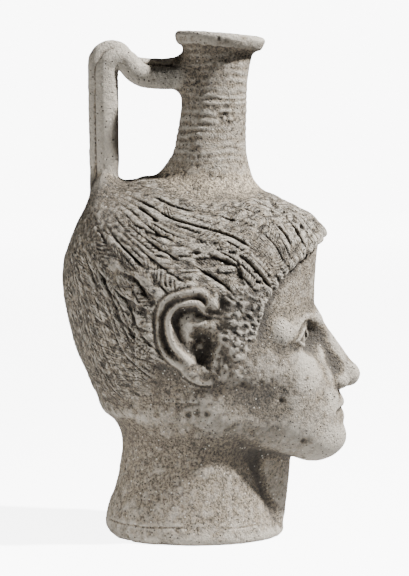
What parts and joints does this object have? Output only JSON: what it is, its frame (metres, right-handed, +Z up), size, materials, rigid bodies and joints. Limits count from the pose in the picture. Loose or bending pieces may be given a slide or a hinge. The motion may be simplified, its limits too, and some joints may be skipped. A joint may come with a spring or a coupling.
{
  "type": "head-shaped lagynos",
  "caption": "Hollow fired-clay flask in the form of a head, with a tall narrow neck, a disc lip and one strap handle of two rods.",
  "frame": {"origin": "middle of the flat foot's underside, on the plane the flask stands on", "axes": "+Z up through the head and the neck; the head looks along -Y and the handle is on +Y; +X is towards the head's own left ear"},
  "size_m": [0.1083, 0.1498, 0.2516],
  "materials": {
    "fired_clay": "matt unglazed fired clay, worn and finely pitted"
  },
  "bodies": {
    "root": {"flask": "fired_clay"}
  },
  "joints": []
}
